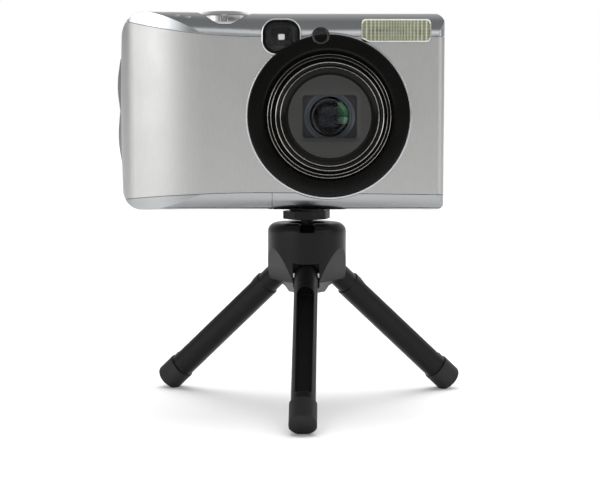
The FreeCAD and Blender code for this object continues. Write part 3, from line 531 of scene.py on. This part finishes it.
# deep end of the lens: stepped light baffles, an iris and a second coated glass
banded("lens_baffles", LENS, [
    (0, [(10.3, 27.95), (9.8, 27.6), (9.55, 27.1), (9.3, 27.04), (7.45, 27.04)]),
    (1, [(7.25, 26.98), (7.12, 26.62), (6.95, 26.54)]),
    (2, [(6.25, 26.33), (6.18, 26.22)]),
    (1, [(6.10, 26.25), (5.72, 26.15)]),
    (0, [(5.62, 26.10), (5.60, 25.6)]),
], ["black_satin", "cell_grey", "barrel_black"], "inner_barrel", "black_satin", segments=160, closed=False)
banded("iris", LENS, [
    (0, [(5.6, 22.3), (5.2, 21.9)]),
    (1, [(4.9, 21.86), (4.8, 21.82)]),
    (0, [(4.4, 21.7)]),
    (1, [(4.2, 21.55), (3.5, 21.4)]),
    (0, [(3.4, 21.3), (2.5, 21.2)]),
    (1, [(2.4, 21.16), (2.2, 21.12)]),
    (2, [(2.1, 21.05), (0.42, 21.04)]),
    # a tiny chrome dome at the iris centre stands in for a glint; its brightness is the chrome's own reflection of
    # the lights
    (3, [(0.40, 21.10), (0.25, 21.22), (0, 21.28)]),
], ["black_satin", "dark_bronze", "lens_depth_painted_shade", "chrome"], "inner_barrel", "black_satin", segments=120,
       closed=False)
lathe("second_glass", LENS, [(4.1, 21.62), (3.4, 21.95), (2.4, 22.2), (1.2, 22.36), (0, 22.4)],
      ["lens_depth_painted_shade"], "inner_barrel", "black_gloss", segments=96, closed=False)
lens_glass = lathe("front_lens_skin", LENS, [
    (0, 22.55), (2.4, 22.62), (4.6, 22.74), (6.58, 22.9), (6.58, 24.85), (6.45, 25.0), (5.6, 25.24),
    (4.6, 25.46), (3.6, 25.63), (2.4, 25.77), (1.2, 25.85), (0, 25.88),
], ["coated_glass_painted_reflection"], "inner_barrel", "clear_glass", segments=144, closed=False)
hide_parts("front_lens")

# ------------------------------------------------------------------ viewfinder, lamp and flash

finder_low, finder_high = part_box("viewfinder_frame")
FINDER = ((finder_low.x + finder_high.x) / 2, (finder_low.z + finder_high.z) / 2)
FINDER_Y = finder_low.y


def finder_loop(shrink, back, lens_round=4.0):
    wide = (finder_high.x - finder_low.x) / MM - 2 * shrink
    high = (finder_high.z - finder_low.z) / MM - 2 * shrink
    return rounded_loop(wide, high, max(0.4, lens_round - shrink), *FINDER, FINDER_Y + back * MM, 12)


finder = loft("viewfinder_frame_skin", [
    finder_loop(0.0, 3.2), finder_loop(0.0, 0.20), finder_loop(0.06, 0.05), finder_loop(0.20, 0.0),
    finder_loop(0.26, 0.02), finder_loop(0.80, 0.10), finder_loop(0.9, 0.4),
    finder_loop(1.05, 0.9), finder_loop(1.9, 1.5), finder_loop(2.5, 1.9), finder_loop(2.9, 2.3),
], ["chrome", "black_gloss", "black_satin"], "camera", bands=[0, 0, 0, 0, 1, 1, 1, 2, 2, 2],
    cap_last=True)
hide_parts("viewfinder_frame")
finder_glass = loft("viewfinder_window_skin", [
    finder_loop(0.95, 1.1), finder_loop(0.95, 0.52), finder_loop(1.10, 0.42), finder_loop(1.6, 0.36),
    finder_loop(2.8, 0.30), finder_loop(4.2, 0.28),
], ["clear_glass"], "camera", cap_first=True, cap_last=True, sharp=60)
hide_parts("viewfinder_window")
# viewfinder end: a gloss black plate and a satin black well, and at the end a small white square that is painted
# light, standing in for the light seen through the eyepiece
mask_y = FINDER_Y + 2.2 * MM
mask_loops = [rounded_loop(w, h, r, *FINDER, mask_y + back * MM, 12)
              for w, h, r, back in ((7.4, 5.6, 0.7, -0.25), (2.0, 1.8, 0.35, -0.25), (1.8, 1.6, 0.3, -0.20),
                                    (1.5, 1.3, 0.2, -0.18))]
loft("viewfinder_mask_with_painted_light", mask_loops, ["black_gloss", "black_satin", "white_plastic"], "camera",
     bands=[0, 1, 2], cap_last=True)

lamp_low, lamp_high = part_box("focus_lamp")
LAMP = Axis(((lamp_low.x + lamp_high.x) / 2, lamp_low.y + 13.6 * MM, (lamp_low.z + lamp_high.z) / 2),
            (0, -1, 0), (1, 0, 0))
lamp = banded("focus_lamp_skin", LAMP, [
    (0, [(2.55, 9.2), (2.55, 13.35), (2.49, 13.52), (2.36, 13.6), (2.10, 13.6)]),
    (1, [(2.02, 13.55), (1.88, 13.5), (1.8, 13.3)]),
    (1, [(1.78, 12.9), (0, 12.7)]),
], ["barrel_black", "grey_matte"], "camera", "black_gloss", segments=96, closed=False)
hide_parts("focus_lamp")


def ribbed_sheet(name, stations, rows, outline_at, height_at, base_y, material, body, back=0.5):
    """A sheet facing -Y whose surface follows height_at(x), between outline_at(x) = (low z, high z)."""
    verts, faces = [], []
    for x in stations:
        low, high = outline_at(x)
        for row in range(rows + 1):
            z = low + (high - low) * row / rows
            verts.append((x, base_y - height_at(x, z) * MM, z))
    stride = rows + 1
    for column in range(len(stations) - 1):
        for row in range(rows):
            corner = column * stride + row
            faces.append((corner, corner + stride, corner + stride + 1, corner + 1))
    edge = ([row for row in range(stride)] + [column * stride + rows for column in range(1, len(stations))]
            + [(len(stations) - 1) * stride + row for row in range(rows - 1, -1, -1)]
            + [column * stride for column in range(len(stations) - 2, 0, -1)])
    rear = []
    for index in edge:
        x, _, z = verts[index]
        rear.append(len(verts))
        verts.append((x, base_y + back * MM, z))
    for number in range(len(edge)):
        following = (number + 1) % len(edge)
        faces.append((edge[number], edge[following], rear[following], rear[number]))
    faces.append(tuple(reversed(rear)))
    return piece(name, verts, faces, [material], body, sharp=50)


lamp_x, lamp_z = LAMP.origin.x, LAMP.origin.z
lamp_glass_y = lamp_low.y + 0.45 * MM


def lamp_outline(x):
    half = math.sqrt(max(0.0, (1.76 * MM) ** 2 - (x - lamp_x) ** 2))
    return lamp_z - half, lamp_z + half


lamp_stations = [lamp_x + (-1.75 + 3.5 * step / 56) * MM for step in range(57)]
ribbed_sheet("focus_lamp_lens", lamp_stations, 6, lamp_outline,
             lambda x, z: 0.10 * abs(math.sin((x - lamp_x) / MM * 2.9)), lamp_glass_y,
             "clear_glass", "camera", back=0.3)

# flash: ribbed window in a pale bed
flash_low, flash_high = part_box("flash_window")
FLASH_Y = flash_low.y
rim_clear = 24.15 * MM


def flash_outline(inset):
    corner = 1.2 - inset * 0.6

    def outline_at(x):
        low, high = flash_low.z + inset * MM, flash_high.z - inset * MM
        reach = min(x - (flash_low.x + inset * MM), flash_high.x - inset * MM - x) / MM
        if reach < corner:
            rise = (corner - math.sqrt(max(0.0, corner ** 2 - (corner - reach) ** 2))) * MM
            low, high = low + rise, high - rise
        across = x - LENS_X
        if abs(across) < rim_clear + inset * MM:
            low = max(low, LENS_Z + math.sqrt((rim_clear + inset * MM) ** 2 - across ** 2))
        return min(low, high - 0.05 * MM), high
    return outline_at


def flash_ribs(x, z):
    """Alternating wide and narrow ribs, closer towards both ends."""
    share = (x - flash_low.x) / (flash_high.x - flash_low.x)
    phase = 20.0 * share + 0.9 * math.sin(2 * math.pi * (share - 0.5))
    rib = abs(math.sin(math.pi * phase))
    return 0.05 + 0.26 * rib ** 0.7


flash_wide = flash_high.x - flash_low.x
flash_stations = [flash_low.x + (0.06 * MM) + (flash_wide - 0.12 * MM) * step / 480 for step in range(481)]
flash_glass = ribbed_sheet("flash_window_skin", flash_stations, 8, flash_outline(0.42), flash_ribs,
                           FLASH_Y + 0.38 * MM, "flash_lens", "camera", back=0.05)
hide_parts("flash_window")
bed_stations = [flash_low.x + flash_wide * step / 120 for step in range(121)]
ribbed_sheet("flash_bed", bed_stations, 3, flash_outline(0.0), lambda x, z: 0.0,
             FLASH_Y + 0.45 * MM, "white_plastic", "camera", back=0.5)

# ------------------------------------------------------------------ sound slots on the top edge

SLOT_SPOTS = ((17.4, 52), (20.6, 47), (23.0, 42))          # reach from the case's left end, tilt of the edge
SLOT_HALF_WIDE, SLOT_HALF_HIGH, SLOT_STEPS = 0.95, 0.36, 28
SLOT_SECTION = ((1.0, -0.10), (1.0, 0.03), (0.82, 0.05), (0.70, -0.02), (0.45, -0.06))   # scale, rise
EDGE_START, EDGE_GROWS, EDGE_RUN, EDGE_LEAD = 3.2, 3.2, 22.0, 1.1

for number, (reach, tilt) in enumerate(SLOT_SPOTS, start=1):
    lean = math.radians(tilt)
    edge_round = EDGE_START + (reach + EDGE_LEAD) / EDGE_RUN * EDGE_GROWS
    outward = Vector((0, -math.cos(lean), math.sin(lean)))
    uphill = Vector((0, math.sin(lean), math.cos(lean)))
    seat = Vector((CASE_LEFT + reach * MM, FRONT_LINE + edge_round * (1 - math.cos(lean)) * MM,
                   CASE_TOP - edge_round * (1 - math.sin(lean)) * MM))
    ellipse = []
    for step in range(SLOT_STEPS):
        angle = 2 * math.pi * step / SLOT_STEPS
        along = Vector((SLOT_HALF_WIDE * math.cos(angle), 0, 0))
        ellipse.append(along + uphill * SLOT_HALF_HIGH * math.sin(angle))
    loops = [[seat + (point * scale + outward * rise) * MM for point in ellipse]
             for scale, rise in SLOT_SECTION]
    loft(f"sound_slot_{number}", loops, ["chrome"], "camera", cap_last=True)

# ------------------------------------------------------------------ zoom dial and shutter button

zoom_joint = next(joint for joint in frame["joints"] if joint["name"] == "zoom_turn")
DIAL = Axis(zoom_joint["pos_m"], (0, 0, 1), (1, 0, 0))


LUG_STANDS, LUG_HALF_ANGLE, LUG_FLANK_ANGLE, LUG_POINTS = 0.62, 7.0, 4.4, range(5, 8)
FRONT_ANGLE = 270


def dial_relief(number, angle):
    """One finger lug at the dial's front, on the section points that carry it."""
    if number not in LUG_POINTS:
        return 0.0
    from_front = abs(math.degrees(angle) - FRONT_ANGLE)
    return LUG_STANDS * min(1.0, max(0.0, (LUG_HALF_ANGLE - from_front) / LUG_FLANK_ANGLE))


zoom = lathe("zoom_ring_skin", DIAL, [
    (5.65, -4.05), (8.85, -4.05), (8.97, -3.95), (9.0, -3.8), (9.0, -2.6), (9.0, -2.42), (9.0, -1.6),
    (8.97, -1.42), (8.8, -1.24), (8.5, -1.06), (7.6, -0.66), (6.7, -0.26), (6.4, -0.11), (6.2, -0.05),
    (6.0, -0.12), (5.75, -0.32), (5.65, -0.45),
], ["dial_chrome"], "zoom_ring", "bright_silver", segments=720, ripple=dial_relief)
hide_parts("zoom_ring")
button = lathe("shutter_button_skin", DIAL, [
    (0, -5.65), (2.2, -5.65), (2.2, -3.15), (5.4, -3.15), (5.4, -0.48), (5.34, -0.32), (5.18, -0.21),
    (4.9, -0.14), (4.2, -0.03), (3.2, 0.06), (2.0, 0.14), (1.0, 0.20), (0, 0.22),
], ["bright_silver"], "shutter_button", "bright_silver", segments=160, closed=False)
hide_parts("shutter_button")


# ------------------------------------------------------------------ floor, light and camera

def look_at(item, place, target):
    item.location = place
    item.rotation_euler = (Vector(target) - Vector(place)).to_track_quat("-Z", "Y").to_euler()
    bpy.context.scene.collection.objects.link(item)


def softbox(name, place, target, wide, high, power, glossy=True):
    light = bpy.data.lights.new(name, "AREA")
    light.shape = "RECTANGLE"
    light.size = wide
    light.size_y = high
    light.energy = power
    item = bpy.data.objects.new(name, light)
    look_at(item, place, target)
    item.visible_glossy = glossy


floor_mesh = bpy.data.meshes.new("floor")
floor_mesh.from_pydata([(-6, -3, 0), (6, -3, 0), (6, 9, 0), (-6, 9, 0)], [], [(0, 1, 2, 3)])
floor = bpy.data.objects.new("floor", floor_mesh)
bpy.context.scene.collection.objects.link(floor)
floor_tree = Tree("floor_paper")
paper = floor_tree.noise(900.0, 2.0)
paper_shade = floor_tree.mix(paper, (0.90, 0.90, 0.90), (0.93, 0.93, 0.93))
floor_tree.link(paper_shade, floor_tree.shader.inputs["Base Color"])
floor_tree.set(Roughness=0.9, Specular_IOR_Level=0.1)
floor_mesh.materials.append(floor_tree.material)

world = bpy.data.worlds.new("studio")
bpy.context.scene.world = world
world.use_nodes = True
sky = world.node_tree
background = sky.nodes["Background"]
background.inputs["Color"].default_value = (1.0, 1.0, 1.0, 1.0)
direction = sky.nodes.new("ShaderNodeTexCoord").outputs["Generated"]
parts = sky.nodes.new("ShaderNodeSeparateXYZ")
sky.links.new(direction, parts.inputs["Vector"])


def sky_ramp(source, start, end, low, high):
    node = sky.nodes.new("ShaderNodeMapRange")
    node.interpolation_type = "SMOOTHSTEP"
    for socket, value in (("From Min", start), ("From Max", end), ("To Min", low), ("To Max", high)):
        node.inputs[socket].default_value = value
    sky.links.new(source, node.inputs["Value"])
    return node.outputs["Result"]


def sky_math(operation, *sources):
    total = sources[0]
    for source in sources[1:]:
        node = sky.nodes.new("ShaderNodeMath")
        node.operation = operation
        sky.links.new(total, node.inputs[0])
        sky.links.new(source, node.inputs[1])
        total = node.outputs["Value"]
    return total


def sky_lobe(toward, start, low, high):
    """A soft round light in one direction."""
    node = sky.nodes.new("ShaderNodeVectorMath")
    node.operation = "DOT_PRODUCT"
    node.inputs[1].default_value = Vector(toward).normalized()
    sky.links.new(direction, node.inputs[0])
    return sky_ramp(node.outputs["Value"], start, 1.0, low, high)


# a dim room, a long strip light ahead and a little above, a soft box at the left and a pale wall behind
strip = sky_math("MULTIPLY", sky_ramp(parts.outputs["Z"], 0.06, 0.34, 0.0, 1.0),
                 sky_ramp(parts.outputs["Z"], 0.42, 0.62, 1.0, 0.0),
                 sky_ramp(parts.outputs["X"], -0.35, 0.20, 0.40, 0.95))
left_lobe = sky_math("MULTIPLY", sky_lobe((-0.80, -0.60, 0.0), 0.80, 0.0, 2.0),
                     sky_ramp(parts.outputs["Z"], 0.12, 0.42, 1.0, 0.0))
level = sky_math("ADD", sky_ramp(parts.outputs["Y"], -0.2, 0.7, 0.27, 0.58), strip, left_lobe,
                 sky_lobe((0.75, -0.6, 0.25), 0.90, 0.0, 0.35))
path = sky.nodes.new("ShaderNodeLightPath")
shown = sky.nodes.new("ShaderNodeMix")
shown.data_type = "FLOAT"
sky.links.new(path.outputs["Is Camera Ray"], shown.inputs["Factor"])
sky.links.new(level, shown.inputs["A"])
shown.inputs["B"].default_value = 1.0
sky.links.new(shown.outputs["Result"], background.inputs["Strength"])

aim = (0, 0, 0.07)
softbox("left_box", (-0.62, -0.60, 0.25), aim, 0.25, 0.35, 0.3)
softbox("right_box", (0.80, -0.35, 0.25), aim, 0.25, 0.5, 0.25)
sun = bpy.data.lights.new("floor_fill", "SUN")
sun.energy = 2.6
sun.angle = math.radians(60)
sun_item = bpy.data.objects.new("floor_fill", sun)
look_at(sun_item, (0.05, 0.1, 1.0), (0, 0, 0))
sun_item.visible_glossy = False
softbox("front_fill", (0.1, -0.9, 0.35), aim, 0.8, 0.5, 1.5, glossy=False)

view = bpy.context.scene.view_settings
view.view_transform = "Standard"
view.look = "None"

CAMERA_PLACE = (0.00207, -0.46831, 0.08811)
CAMERA_DIP = 4.713          # degrees below level
camera = bpy.data.cameras.new("photo_camera")
camera.lens = 97.16
camera.sensor_width = 36.0
camera.clip_start = 0.02
camera.clip_end = 30.0
viewer = bpy.data.objects.new("photo_camera", camera)
viewer.location = CAMERA_PLACE
viewer.rotation_euler = (math.radians(90 - CAMERA_DIP), 0, 0)
bpy.context.scene.collection.objects.link(viewer)
bpy.context.scene.camera = viewer
